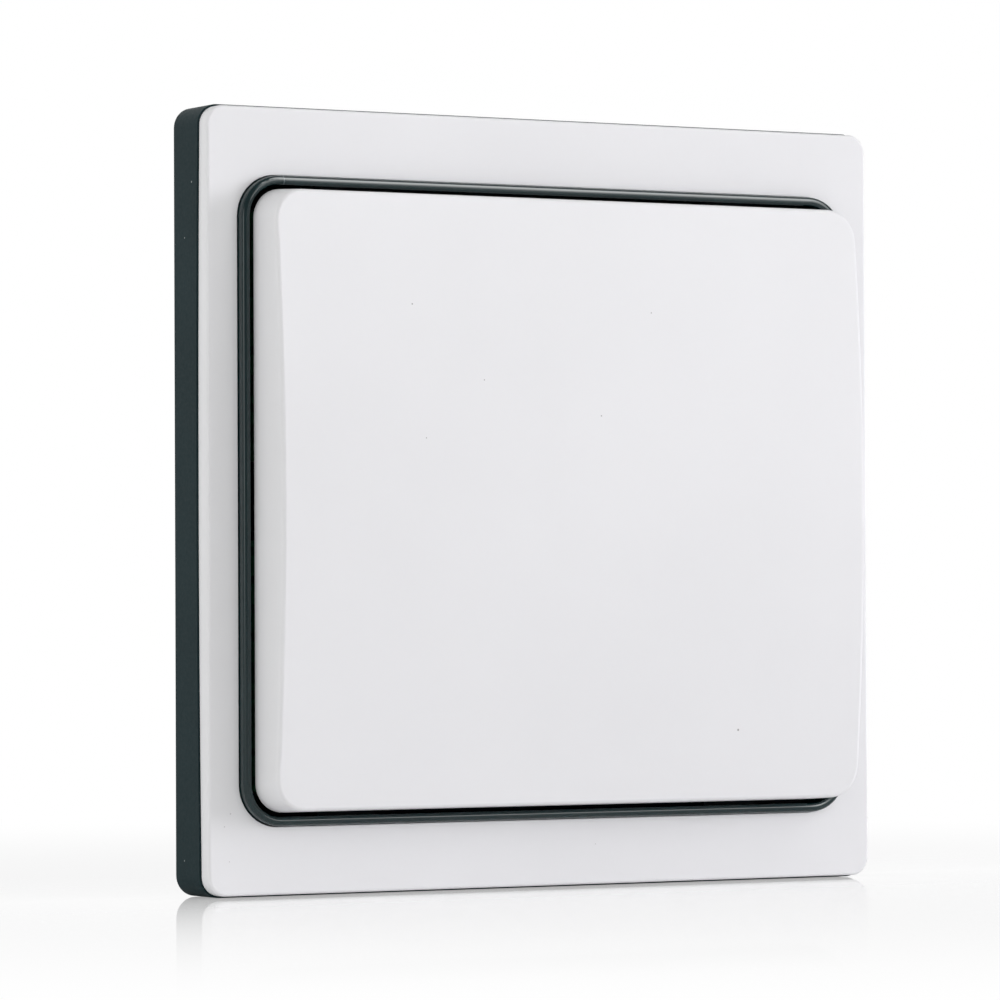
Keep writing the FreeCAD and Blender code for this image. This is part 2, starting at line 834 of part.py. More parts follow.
def crystal_can():
    """Crystal in its oval can with the brim at its foot."""
    base = slab_at(can_x, can_y, can_length, can_width, can_width / 2.0 - 0.01,
                   board_top, board_top + can_flange)
    can = slab_at(can_x, can_y, can_length - 2 * can_flange, can_width - 2 * can_flange,
                  can_width / 2.0 - can_flange - 0.01, board_top, board_top + can_height)
    can = can.makeFillet(can_top_round, level_edges(can, board_top + can_height))
    return base.fuse(can).removeSplitter()


def antenna_wire():
    """Bent wire aerial: a long low staple that stands on the board."""
    half = antenna_span / 2.0
    high = board_top + antenna_rise
    b = antenna_bend
    k = b * (1.0 - math.sqrt(0.5))
    points = [Vector(-half, 0, board_top), Vector(-half, 0, high - b),
              Vector(-half + k, 0, high - k), Vector(-half + b, 0, high),
              Vector(half - b, 0, high), Vector(half - k, 0, high - k),
              Vector(half, 0, high - b), Vector(half, 0, board_top)]
    path = Part.Wire([
        Part.makeLine(points[0], points[1]),
        Part.Arc(points[1], points[2], points[3]).toShape(),
        Part.makeLine(points[3], points[4]),
        Part.Arc(points[4], points[5], points[6]).toShape(),
        Part.makeLine(points[6], points[7]),
    ])
    circle = Part.makeCircle(antenna_wire_radius, points[0], Vector(0, 0, 1))
    body = path.makePipeShell([Part.Wire([circle])], True, False)
    body.translate(Vector(antenna_x, antenna_y, 0))
    return body


def chip_parts():
    """Rows of small resistors and capacitors beside the chip."""
    parts = []
    first = -(chip_part_columns - 1) / 2.0
    for row in range(2):
        y = chip_y + chip_part_row_gap + row * chip_part_row_pitch
        for column in range(chip_part_columns):
            x = chip_x + (first + column) * chip_part_pitch
            parts.append(block(x, y, board_top, chip_part_length, chip_part_width,
                               chip_part_height + row * capacitor_rise))
    for column in range(chip_part_columns - 1):
        x = chip_x + (first + column) * chip_part_pitch
        parts.append(block(x, can_y - capacitor_row_gap, board_top, chip_part_width,
                           chip_part_length, chip_part_height))
    return Part.makeCompound(parts)


def stand_up(shape):
    """Turns a piece from lying on its back to hanging on the wall."""
    turned = shape.copy()
    turned.rotate(Vector(0, 0, 0), Vector(1, 0, 0), 90)
    return turned


def pieces():
    """Every piece of the switch by its node name."""
    made = {
        "back_shell": back_shell(),
        "cover_frame": cover_frame(),
        "trim_ring": trim_ring(),
        "carrier": carrier(),
        "rocker": rocker(),
        "circuit_board": circuit_board(),
        "board_screws": board_screws(),
        "switch_terminals": switch_terminals(),
        "cell_holder": cell_holder(),
        "coin_cell": coin_cell(),
        "cell_contact_positive": cell_contact_positive(),
        "cell_contact_negative": cell_contact_negative(),
        "radio_chip": radio_chip(),
        "crystal_can": crystal_can(),
        "antenna_wire": antenna_wire(),
        "chip_parts": chip_parts(),
    }
    for name, side in (("upper", 1), ("lower", -1)):
        y = side * switch_reach
        made["switch_body_" + name] = switch_body(y)
        made["switch_cover_" + name] = switch_cover_plate(y)
        made["switch_plunger_" + name] = switch_plunger(y)
    return made


def main():
    """Builds each piece, stands it up and writes it."""
    os.makedirs("parts", exist_ok=True)
    for name, shape in pieces().items():
        turned = stand_up(shape)
        print(name, "valid", turned.isValid(), "solids", len(turned.Solids),
              "volume", round(turned.Volume, 2))
        turned.exportStep("parts/" + name + ".step")


main()
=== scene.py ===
import bpy
import json
import math
from bpy.props import FloatProperty, FloatVectorProperty, IntProperty, PointerProperty
from bpy.types import NodeSocket, Operator, Panel, PropertyGroup
from mathutils import Matrix, Vector

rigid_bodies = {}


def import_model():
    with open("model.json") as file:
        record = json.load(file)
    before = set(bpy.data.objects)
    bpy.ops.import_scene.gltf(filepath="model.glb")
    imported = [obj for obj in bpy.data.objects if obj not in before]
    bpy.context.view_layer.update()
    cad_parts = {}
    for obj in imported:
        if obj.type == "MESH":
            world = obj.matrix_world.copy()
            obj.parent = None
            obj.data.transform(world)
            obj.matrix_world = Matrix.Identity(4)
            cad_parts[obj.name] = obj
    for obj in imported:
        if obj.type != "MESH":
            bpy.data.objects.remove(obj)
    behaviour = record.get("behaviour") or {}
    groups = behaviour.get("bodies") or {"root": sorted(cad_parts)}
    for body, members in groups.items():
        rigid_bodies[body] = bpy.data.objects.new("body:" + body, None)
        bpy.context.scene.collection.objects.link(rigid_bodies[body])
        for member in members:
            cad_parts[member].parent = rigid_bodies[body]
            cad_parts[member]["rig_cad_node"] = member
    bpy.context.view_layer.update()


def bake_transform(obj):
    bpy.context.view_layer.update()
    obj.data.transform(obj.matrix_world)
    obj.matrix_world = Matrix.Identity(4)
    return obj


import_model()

bl_info = {
    "name": "Wireless wall switch",
    "version": (1, 0, 0),
    "blender": (4, 5, 0),
    "location": "3D View > Sidebar > Wall Switch",
    "description": "Finishes, springs and screws of a wireless wall switch, and its studio",
    "category": "Object",
}

HALVES = ("upper", "lower")
MM = 0.001
QUARTER_TURN = math.radians(90.0)
FULL_TURN = math.radians(360.0)
WHITE = (1.0, 1.0, 1.0, 1.0)

# How much each axis counts in the distance from a mark: on faces seen from the front, on
# the shell's side, and for a scratch ten times as long as it is wide
FRONT = (1.0, 0.0, 1.0)
SIDE = (0.0, 1.0, 1.0)
ACROSS_RING = (1.0, 0.0, 0.1)

# Dust and scratches that the photograph shows, each a point in mm and a radius
ROCKER_DUST = (
    ((20.89, -13.8, -25.62), 0.16),
    ((-21.15, -14.1, 21.36), 0.11),
    ((2.49, -14.7, 9.48), 0.1),
    ((9.43, -14.1, 21.1), 0.09),
    ((-12.4, -14.5, 13.22), 0.09),
    ((-19.83, -14.8, 6.77), 0.085),
    ((22.0, -12.9, 35.28), 0.09),
)
FRAME_DUST = (
    ((-40.15, -7.4, -33.86), 0.1),
    ((-40.88, -7.4, -35.24), 0.09),
    ((-40.29, -7.4, -39.03), 0.08),
    ((5.87, -7.4, -38.29), 0.08),
)
SHELL_DUST = (
    ((-43.0, -4.22, 34.57), 0.13),
    ((-43.0, -2.02, -39.05), 0.11),
    ((-43.0, -2.5, 28.59), 0.1),
)
RING_SCRATCH = (((-33.93, -8.5, 34.8), 0.07),)

# Their colours in display values
DUST_ON_WHITE = (158, 156, 154)
DUST_ON_SHELL = (150, 156, 156)
SCRATCH_ON_RING = (96, 104, 106)

# Where most values of a noise lie
NOISE_LOW = 0.3
NOISE_HIGH = 0.7

# Sides of the spring's wire, steps of a turn, weld distance and the angle of its edges
WIRE_SIDES = 10
STEPS_PER_TURN = 28
WELD = 1e-7
EDGE_ANGLE = math.radians(50.0)

# Soft fills of the studio: the way each comes from, the cosine at which it starts, and
# its strength
FILLS = (
    ((-1.0, 0.0, 0.0), 0.5, 1.56),
    ((0.0, -0.998, 0.06), 0.88, 2.0),
    ((0.0, 1.0, 0.0), 0.45, 1.1),
)

# Soft boxes as gloss mirrors them, given in the same way
MIRRORED = (
    ((0.46, -0.66, 0.6), 0.9, 6.0),
    ((0.53, -0.81, 0.24), 0.955, 4.5),
    ((-0.92, -0.38, 0.08), 0.94, 1.7),
)

# Where the mirrored room starts to brighten towards the back, and where it is white
ROOM_START = 0.0
ROOM_END = 0.7

# Lamps: name, place in metres, width and height, power, colour, and if gloss mirrors it
LAMPS = (
    ("key", (0.61, -0.87, 0.96), (0.4, 0.75), 2.0, (1.0, 1.0, 1.0), True),
    ("side", (1.31, -0.63, 0.0), (0.9, 0.9), 23.0, (0.95, 0.935, 1.0), False),
)

# Floor: its size in metres, its paint and polish, and the radii between which shadow and
# reflection die away
FLOOR_SIZE = 6.0
FLOOR_PAINT = (0.92, 0.92, 0.92, 1.0)
FLOOR_POLISH = 0.03
NEAR_RADIUS = 0.05
FAR_RADIUS = 0.2

# Film width in mm, as the lens is given for, and the end of the camera's view in metres
FILM_WIDTH = 36.0
VIEW_END = 20.0


def linear(red, green, blue):
    """Linear colour of a tone given in display values from 0 to 255."""
    tones = []
    for value in (red, green, blue):
        share = value / 255.0
        if share <= 0.04045:
            tones.append(share / 12.92)
        else:
            tones.append(((share + 0.055) / 1.055) ** 2.4)
    return tuple(tones)


def tinted(colour, factor):
    """A colour made lighter or darker."""
    return tuple(min(1.0, c * factor) for c in colour)


class SwitchFinishes(PropertyGroup):
    """Colours of the switch's finishes."""

    white: FloatVectorProperty(
        name="White plastic", description="Rocker and cover frame",
        subtype="COLOR", size=3, min=0.0, max=1.0, default=linear(235, 235, 236))
    shell: FloatVectorProperty(
        name="Shell plastic", description="Dark back shell",
        subtype="COLOR", size=3, min=0.0, max=1.0, default=linear(33, 49, 52))
    ring: FloatVectorProperty(
        name="Ring plastic", description="Glossy ring round the rocker",
        subtype="COLOR", size=3, min=0.0, max=1.0, default=linear(8, 35, 37))
    carrier: FloatVectorProperty(
        name="Carrier plastic", description="Dark tub behind the rocker",
        subtype="COLOR", size=3, min=0.0, max=1.0, default=linear(28, 31, 32))
    board: FloatVectorProperty(
        name="Board", description="Solder resist of the circuit board",
        subtype="COLOR", size=3, min=0.0, max=1.0, default=linear(34, 84, 56))
    steel: FloatVectorProperty(
        name="Plated steel", description="Coin cell, switch covers, terminals and crystal can",
        subtype="COLOR", size=3, min=0.0, max=1.0, default=linear(196, 197, 196))


class SpringSizes(PropertyGroup):
    """Sizes of the return springs inside the plunger switches."""

    coil_radius: FloatProperty(
        name="Coil radius", description="From the spring's axis to the wire's centre",
        unit="LENGTH", default=0.86 * MM)
    wire_radius: FloatProperty(
        name="Wire radius", description="Radius of the spring wire",
        unit="LENGTH", default=0.13 * MM)
    turns: IntProperty(
        name="Turns", description="Number of turns", min=2, max=12, default=5)
    seat_depth: FloatProperty(
        name="Seat", description="Depth of the switch's floor in front of the wall",
        unit="LENGTH", default=4.92 * MM)
    top_depth: FloatProperty(
        name="Top", description="Depth of the end of the plunger's bore",
        unit="LENGTH", default=7.83 * MM)
    reach: FloatProperty(
        name="Reach", description="Height of each switch above or below the pivot",
        unit="LENGTH", default=22.0 * MM)


class StudioSettings(PropertyGroup):
    """Camera, floor and lights."""

    camera_place: FloatVectorProperty(
        name="Camera place", description="Where the camera stands",
        subtype="TRANSLATION", size=3,
        default=(-306.82 * MM, -524.09 * MM, -11.65 * MM))
    camera_turn: FloatVectorProperty(
        name="Camera turn", description="Yaw, pitch and roll of the view",
        subtype="EULER", size=3,
        default=(math.radians(-30.181), math.radians(1.139), math.radians(0.25)))
    lens: FloatProperty(
        name="Lens", description="Focal length in mm on a 36 mm wide film",
        min=10.0, max=500.0, default=193.52)
    floor_level: FloatProperty(
        name="Floor", description="Height of the floor that the switch stands on",
        unit="LENGTH", default=-43.05 * MM)
    ambient: FloatProperty(
        name="Ambient", description="Strength of the even light from all sides",
        min=0.0, max=2.0, default=0.3)
    dark_room: FloatProperty(
        name="Room", description="Brightness of the room as gloss mirrors it",
        min=0.0, max=1.0, default=0.22)


def deselect_all():
    """Leaves object mode with nothing selected."""
    if bpy.context.object and bpy.context.object.mode != "OBJECT":
        bpy.ops.object.mode_set(mode="OBJECT")
    bpy.ops.object.select_all(action="DESELECT")


def activate(piece):
    """Makes one piece the only one selected, and active."""
    deselect_all()
    piece.select_set(True)
    bpy.context.view_layer.objects.active = piece


def apply_place(piece):
    """Puts a piece's place into its mesh."""
    activate(piece)
    bpy.ops.object.transform_apply(location=True, rotation=True, scale=True)


def node_object(node):
    """The CAD piece of that name."""
    found = [o for o in bpy.data.objects if o.get("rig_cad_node") == node]
    if not found:
        raise RuntimeError("no CAD piece is named " + node)
    return found[0]


def dress(node, material):
    """Gives a CAD piece its material."""
    piece = node_object(node)
    if not piece.data.materials:
        piece.data.materials.append(material)
    for i in range(len(piece.data.materials)):
        piece.data.materials[i] = material


def add_node(tree, kind, inputs=None):
    """A new shader node; each input is named or numbered and gets a value or a socket."""
    node = tree.nodes.new(kind)
    for key, value in (inputs or {}).items():
        if isinstance(value, NodeSocket):
            tree.links.new(value, node.inputs[key])
        else:
            node.inputs[key].default_value = value
    return node


def combine(tree, operation, first, second=0.0):
    """A calculation with one or two values, each a socket or a number."""
    node = add_node(tree, "ShaderNodeMath", {0: first, 1: second})
    node.operation = operation
    return node.outputs["Value"]


def measure(tree, operation, first, second=(0.0, 0.0, 0.0)):
    """A number taken from one or two vectors, each a socket or a tuple."""
    node = add_node(tree, "ShaderNodeVectorMath", {0: first, 1: second})
    node.operation = operation
    return node.outputs["Value"]


def map_range(tree, value, low, high, start, end, ease="LINEAR"):
    """Maps a value's range from low..high onto start..end."""
    node = add_node(tree, "ShaderNodeMapRange", {
        "Value": value, "From Min": low, "From Max": high, "To Min": start, "To Max": end})
    node.interpolation_type = ease
    return node.outputs["Result"]


def mix_shaders(tree, share, first, second):
    """Mixes two shaders; a share of 1 is the second alone."""
    mix = add_node(tree, "ShaderNodeMixShader", {0: share, 1: first, 2: second})
    return mix.outputs["Shader"]


class Finish:
    """A material under construction: shader, coordinates and helpers."""

    def __init__(self, name, roughness, metallic=0.0, specular=0.5):
        self.material = bpy.data.materials.new(name)
        self.material.use_nodes = True
        self.tree = self.material.node_tree
        self.tree.nodes.clear()
        self.roughness = roughness
        self.shader = self.add("ShaderNodeBsdfPrincipled", {
            "Roughness": roughness, "Metallic": metallic, "Specular IOR Level": specular})
        self.add("ShaderNodeOutputMaterial", {"Surface": self.shader.outputs["BSDF"]})
        self.place = self.add("ShaderNodeTexCoord").outputs["Object"]

    def add(self, kind, inputs=None):
        """A new node in the material."""
        return add_node(self.tree, kind, inputs)

    def join(self, source, target):
        """Links an output to an input."""
        self.tree.links.new(source, target)

    def noise(self, scale, detail=3.0, roughness=0.5, place=None):
        """Noise over the piece; the scale is in cells per metre."""
        node = self.add("ShaderNodeTexNoise", {
            "Vector": place or self.place, "Scale": scale, "Detail": detail,
            "Roughness": roughness})
        return node.outputs["Fac"]

    def stretch(self, factors):
        """Coordinates stretched along the axes, for drawn or brushed marks."""
        node = self.add("ShaderNodeMapping", {"Vector": self.place, "Scale": factors})
        return node.outputs["Vector"]

    def span(self, value, low=NOISE_LOW, high=NOISE_HIGH, start=0.0, end=1.0):
        """Maps a value's range from low..high onto start..end."""
        return map_range(self.tree, value, low, high, start, end)

    def blend(self, share, first, second):
        """Mixes two colours, each a socket or a tuple, by a share."""
        node = self.add("ShaderNodeMix")
        node.data_type = "RGBA"
        self.join(share, node.inputs["Factor"])
        for key, value in (("A", first), ("B", second)):
            slot = [s for s in node.inputs if s.name == key and s.type == "RGBA"][0]
            if isinstance(value, tuple):
                slot.default_value = value + (1.0,)
            else:
                self.join(value, slot)
        return [s for s in node.outputs if s.type == "RGBA"][0]

    def clouded(self, source, colour, dark, light):
        """A colour that wanders between two of its tints."""
        return self.blend(self.span(source), tinted(colour, dark), tinted(colour, light))

    def specks(self, marks, keep):
        """Small marks, each a point and a radius in mm, with the axes scaled by keep."""
        flat = self.stretch(keep)
        total = None
        for point, radius in marks:
            centre = tuple(value * MM * factor for value, factor in zip(point, keep))
            away = measure(self.tree, "DISTANCE", flat, centre)
            mark = self.span(away, radius * MM * 0.5, radius * MM, 1.0, 0.0)
            total = mark if total is None else combine(self.tree, "MAXIMUM", total, mark)
        return total

    def colour(self, source):
        """Colours the shader."""
        self.join(source, self.shader.inputs["Base Color"])

    def rough(self, source, least, most, low=NOISE_LOW, high=NOISE_HIGH):
        """Varies the roughness by least..most as the source runs from low to high."""
        varied = self.span(source, low, high, self.roughness + least,
                           self.roughness + most)
        self.join(varied, self.shader.inputs["Roughness"])

    def bump(self, *heights):
        """Bump from pairs of a height source and its depth in metres."""
        normal = None
        for source, depth in heights:
            node = self.add("ShaderNodeBump", {
                "Height": source, "Strength": 1.0, "Distance": depth})
            if normal is not None:
                self.join(normal, node.inputs["Normal"])
            normal = node.outputs["Normal"]
        self.join(normal, self.shader.inputs["Normal"])


def white_plastic(name, colour, specks, shown):
    """Smooth satin white moulding with a faint flow, and dust that shows by a share."""
    finish = Finish(name, 0.4, specular=0.22)
    flow = finish.noise(38.0, detail=2.0)
    tone = finish.clouded(flow, colour, dark=0.985, light=1.012)
    dust = combine(finish.tree, "MULTIPLY", finish.specks(specks, FRONT), shown)
    finish.colour(finish.blend(dust, tone, linear(*DUST_ON_WHITE)))
    skin = finish.noise(1400.0)
    finish.rough(skin, least=-0.04, most=0.04, low=0.25, high=0.75)
    finish.bump((finish.noise(320.0, detail=2.0), 2.5e-6), (skin, 1.2e-6))
    return finish.material


def grained_plastic(name, colour, roughness, grain, depth, specks=()):
    """Moulding with an even spark-eroded grain."""
    finish = Finish(name, roughness, specular=0.06)
    grains = finish.noise(grain, detail=4.0, roughness=0.6)
    clouds = finish.noise(90.0, detail=2.0)
    tone = finish.clouded(clouds, colour, dark=0.94, light=1.07)
    if specks:
        tone = finish.blend(finish.specks(specks, SIDE), tone, linear(*DUST_ON_SHELL))
    finish.colour(tone)
    finish.rough(grains, least=-0.07, most=0.08)
    finish.bump((grains, depth))
    return finish.material


def gloss_plastic(name, colour):
    """Polished dark moulding with hairline handling marks."""
    finish = Finish(name, 0.16, specular=0.6)
    clouds = finish.noise(140.0, detail=2.0)
    tone = finish.clouded(clouds, colour, dark=0.93, light=1.08)
    scratch = finish.specks(RING_SCRATCH, ACROSS_RING)
    finish.colour(finish.blend(scratch, tone, linear(*SCRATCH_ON_RING)))
    hairs = finish.noise(900.0, roughness=0.6, place=finish.stretch((0.25, 1.0, 1.0)))
    finish.rough(hairs, least=-0.06, most=-0.01, high=0.75)
    finish.bump((hairs, 1.5e-6))
    return finish.material


def metal(name, colour, roughness, grain):
    """Plated or drawn metal; the grain is a stretch along the axes."""
    finish = Finish(name, roughness, metallic=1.0)
    drawn = finish.noise(1800.0, detail=4.0, roughness=0.6, place=finish.stretch(grain))
    finish.colour(finish.clouded(drawn, colour, dark=0.9, light=1.05))
    finish.rough(drawn, least=-0.06, most=0.08)
    finish.bump((drawn, 2e-6))
    return finish.material


def board_laminate(name, colour):
    """Solder resist with copper tracks showing faintly through it."""
    finish = Finish(name, 0.3)
    turned = finish.add("ShaderNodeMapping", {
        "Vector": finish.place, "Rotation": (QUARTER_TURN, 0.0, 0.0)})
    tracks = finish.add("ShaderNodeTexBrick", {
        "Vector": turned.outputs["Vector"], "Scale": 160.0, "Mortar Size": 0.06,
        "Mortar Smooth": 0.3})
    cells = finish.noise(220.0, detail=1.0)
    shown = combine(finish.tree, "MULTIPLY", tracks.outputs["Fac"],
                    finish.span(cells, 0.45, 0.5))
    weave = finish.noise(1500.0, detail=2.0)
    resist = finish.clouded(weave, colour, dark=0.92, light=1.06)
    finish.colour(finish.blend(shown, resist, tinted(colour, 1.7)))
    finish.bump((shown, 2e-5))
    return finish.material


class WALLSWITCH_OT_shell(Operator):
    """Dark grained finish on the back shell."""

    bl_idname = "wall_switch.shell"
    bl_label = "Back shell"

    def execute(self, context):
        look = context.scene.switch_finishes
        dress("back_shell", grained_plastic(
            "shell_plastic", tuple(look.shell), roughness=0.5, grain=2600.0, depth=6e-6,
            specks=SHELL_DUST))
        return {"FINISHED"}


class WALLSWITCH_OT_white_parts(Operator):
    """White finish on the rocker and the cover frame."""

    bl_idname = "wall_switch.white_parts"
    bl_label = "Rocker and cover frame"

    def execute(self, context):
        white = tuple(context.scene.switch_finishes.white)
        dress("rocker", white_plastic("rocker_white", white, ROCKER_DUST, shown=1.0))
        dress("cover_frame", white_plastic("frame_white", white, FRAME_DUST, shown=0.5))
        return {"FINISHED"}


class WALLSWITCH_OT_ring(Operator):
    """Glossy dark finish on the trim ring."""

    bl_idname = "wall_switch.ring"
    bl_label = "Trim ring"

    def execute(self, context):
        look = context.scene.switch_finishes
        dress("trim_ring", gloss_plastic("ring_plastic", tuple(look.ring)))
        return {"FINISHED"}


class WALLSWITCH_OT_carrier(Operator):
    """Matt dark finish on the carrier."""

    bl_idname = "wall_switch.carrier"
    bl_label = "Carrier"

    def execute(self, context):
        look = context.scene.switch_finishes
        dress("carrier", grained_plastic(
            "carrier_plastic", tuple(look.carrier), roughness=0.55, grain=1900.0,
            depth=5e-6))
        return {"FINISHED"}


class WALLSWITCH_OT_board(Operator):
    """Circuit board with its chip, crystal, aerial and small parts."""

    bl_idname = "wall_switch.board"
    bl_label = "Circuit board"

    def execute(self, context):
        look = context.scene.switch_finishes
        dress("circuit_board", board_laminate("board_laminate", tuple(look.board)))
        dress("radio_chip", grained_plastic(
            "chip_resin", linear(30, 30, 32), roughness=0.6, grain=4200.0, depth=4e-6))
        dress("crystal_can", metal(
            "can_nickel", tuple(look.steel), roughness=0.25, grain=(1.0, 1.0, 1.0)))
        dress("antenna_wire", metal(
            "aerial_copper", linear(196, 128, 84), roughness=0.3, grain=(0.2, 1.0, 1.0)))
        dress("chip_parts", grained_plastic(
            "part_ceramic", linear(150, 122, 92), roughness=0.55, grain=3200.0,
            depth=3e-6))
        return {"FINISHED"}


class WALLSWITCH_OT_plungers(Operator):
    """Two plunger switches: bodies, covers, plungers and terminals."""

    bl_idname = "wall_switch.plungers"
    bl_label = "Plunger switches"

    def execute(self, context):
        steel = tuple(context.scene.switch_finishes.steel)
        body = grained_plastic(
            "switch_black", linear(28, 28, 29), roughness=0.5, grain=3000.0, depth=4e-6)
        cover = metal("cover_steel", steel, roughness=0.3, grain=(0.15, 1.0, 1.0))
        stem = grained_plastic(
            "plunger_natural", linear(206, 200, 188), roughness=0.45, grain=2400.0,
            depth=2e-6)
        for half in HALVES:
            dress("switch_body_" + half, body)
            dress("switch_cover_" + half, cover)
            dress("switch_plunger_" + half, stem)
        dress("switch_terminals", metal(
            "terminal_tin", steel, roughness=0.35, grain=(1.0, 0.2, 1.0)))
        return {"FINISHED"}


def wound_spring(name, sizes):
    """Spring about the vertical axis, wound from a circle and closed at both ends."""
    deselect_all()
    bpy.ops.mesh.primitive_circle_add(
        vertices=WIRE_SIDES, radius=sizes.wire_radius, fill_type="NOTHING",
        rotation=(QUARTER_TURN, 0.0, 0.0), location=(sizes.coil_radius, 0.0, 0.0))
    spring = bpy.context.object
    spring.name = name
    apply_place(spring)
    length = sizes.top_depth - sizes.seat_depth - 2.0 * sizes.wire_radius
    winding = spring.modifiers.new("winding", "SCREW")
    winding.axis = "Z"
    winding.angle = FULL_TURN
    winding.screw_offset = length / sizes.turns
    winding.iterations = sizes.turns
    winding.steps = STEPS_PER_TURN
    winding.render_steps = STEPS_PER_TURN
    bpy.ops.object.modifier_apply(modifier="winding")
    bpy.ops.object.mode_set(mode="EDIT")
    bpy.ops.mesh.select_mode(type="EDGE")
    bpy.ops.mesh.select_all(action="DESELECT")
    bpy.ops.mesh.select_non_manifold()
    bpy.ops.mesh.fill()
    bpy.ops.mesh.select_all(action="SELECT")
    bpy.ops.mesh.remove_doubles(threshold=WELD)
    bpy.ops.mesh.normals_make_consistent(inside=False)
    bpy.ops.object.mode_set(mode="OBJECT")
    return spring


class WALLSWITCH_OT_springs(Operator):
    """Return spring inside each plunger switch, wound from round wire."""

    bl_idname = "wall_switch.springs"
    bl_label = "Return springs"

    def execute(self, context):
        sizes = context.scene.spring_sizes
        wire = metal("spring_wire", linear(178, 178, 176), roughness=0.28,
                     grain=(1.0, 1.0, 0.3))
        for half, side in zip(HALVES, (1.0, -1.0)):
            spring = wound_spring("plunger_spring_" + half, sizes)
            spring.rotation_euler = (QUARTER_TURN, 0.0, 0.0)
            spring.location = (0.0, -sizes.seat_depth - sizes.wire_radius,
                               side * sizes.reach)
            apply_place(spring)
            bpy.ops.object.shade_smooth_by_angle(angle=EDGE_ANGLE)
            spring.data.materials.append(wire)
            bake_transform(spring)
        return {"FINISHED"}


class WALLSWITCH_OT_cell(Operator):
    """Coin cell with its holder and contacts."""

    bl_idname = "wall_switch.cell"
    bl_label = "Coin cell"

    def execute(self, context):
        look = context.scene.switch_finishes
        dress("cell_holder", grained_plastic(
            "holder_black", linear(44, 44, 43), roughness=0.5, grain=2200.0, depth=4e-6))
        dress("coin_cell", metal(
            "cell_nickel", tuple(look.steel), roughness=0.26, grain=(1.0, 1.0, 0.3)))
        strip = metal("contact_strip", linear(206, 196, 170), roughness=0.3,
                      grain=(0.2, 1.0, 1.0))
        dress("cell_contact_positive", strip)
        dress("cell_contact_negative", strip)
        return {"FINISHED"}


class WALLSWITCH_OT_screws(Operator):
    """Zinc plated finish on the board's screws."""

    bl_idname = "wall_switch.screws"
    bl_label = "Board screws"

    def execute(self, context):
        dress("board_screws", metal(
            "screw_zinc", linear(184, 184, 178), roughness=0.32, grain=(1.0, 1.0, 1.0)))
        return {"FINISHED"}


def area_light(name, place, size, power, colour, mirrored):
    """Soft box at a place, turned towards the switch."""
    deselect_all()
    bpy.ops.object.light_add(type="AREA", location=place)
    lamp = bpy.context.object
    lamp.name = name
    lamp.data.shape = "RECTANGLE"
    lamp.data.size, lamp.data.size_y = size
    lamp.data.energy = power
    lamp.data.color = colour
    lamp.rotation_euler = Vector(place).to_track_quat("Z", "Y").to_euler()
    lamp.visible_glossy = mirrored


def floor_material(near_share, fade, shadow):
    """White polished floor: white to the eye, with a reflection that fades away."""
    material = bpy.data.materials.new("white_floor")
    material.use_nodes = True
    tree = material.node_tree
    tree.nodes.clear()
    plain = add_node(tree, "ShaderNodeBsdfDiffuse", {"Color": FLOOR_PAINT})
    glow = add_node(tree, "ShaderNodeEmission", {"Color": WHITE, "Strength": 1.0})
    shine = add_node(tree, "ShaderNodeBsdfGlossy", {
        "Color": WHITE, "Roughness": FLOOR_POLISH})
    place = add_node(tree, "ShaderNodeTexCoord").outputs["Object"]
    apart = add_node(tree, "ShaderNodeSeparateXYZ", {"Vector": place})
    flat = add_node(tree, "ShaderNodeCombineXYZ", {
        "X": apart.outputs["X"], "Y": apart.outputs["Y"]})
    spread = measure(tree, "LENGTH", flat.outputs["Vector"])
    near = map_range(tree, spread, NEAR_RADIUS, FAR_RADIUS, 1.0, 0.0, "SMOOTHSTEP")
    depth = combine(tree, "ABSOLUTE", apart.outputs["Y"])
    fading = combine(tree, "EXPONENT", combine(tree, "MULTIPLY", depth, -1.0 / fade))
    polish = add_node(tree, "ShaderNodeFresnel").outputs["Fac"]
    share = combine(tree, "MULTIPLY", combine(tree, "MULTIPLY", fading, near_share),
                    combine(tree, "MULTIPLY", polish, near))
    shaded = mix_shaders(tree, combine(tree, "MULTIPLY", near, shadow),
                         glow.outputs["Emission"], plain.outputs["BSDF"])
    polished = mix_shaders(tree, share, shaded, shine.outputs["BSDF"])
    rays = add_node(tree, "ShaderNodeLightPath")
    seen = mix_shaders(tree, rays.outputs["Is Camera Ray"], plain.outputs["BSDF"],
                       polished)
    add_node(tree, "ShaderNodeOutputMaterial", {"Surface": seen})
    return material


def add_lobes(tree, way, total, lobes):
    """Adds soft boxes, each a direction, the cosine at its edge and a strength."""
    for towards, edge, strength in lobes:
        facing = measure(tree, "DOT_PRODUCT", way, towards)
        lobe = map_range(tree, facing, edge, 1.0, 0.0, strength, "SMOOTHSTEP")
        total = combine(tree, "ADD", total, lobe)
    return total


def white_light(tree, strength):
    """White light of the world, of a strength that is a number or a socket."""
    light = add_node(tree, "ShaderNodeBackground", {"Color": WHITE, "Strength": strength})
    return light.outputs["Background"]


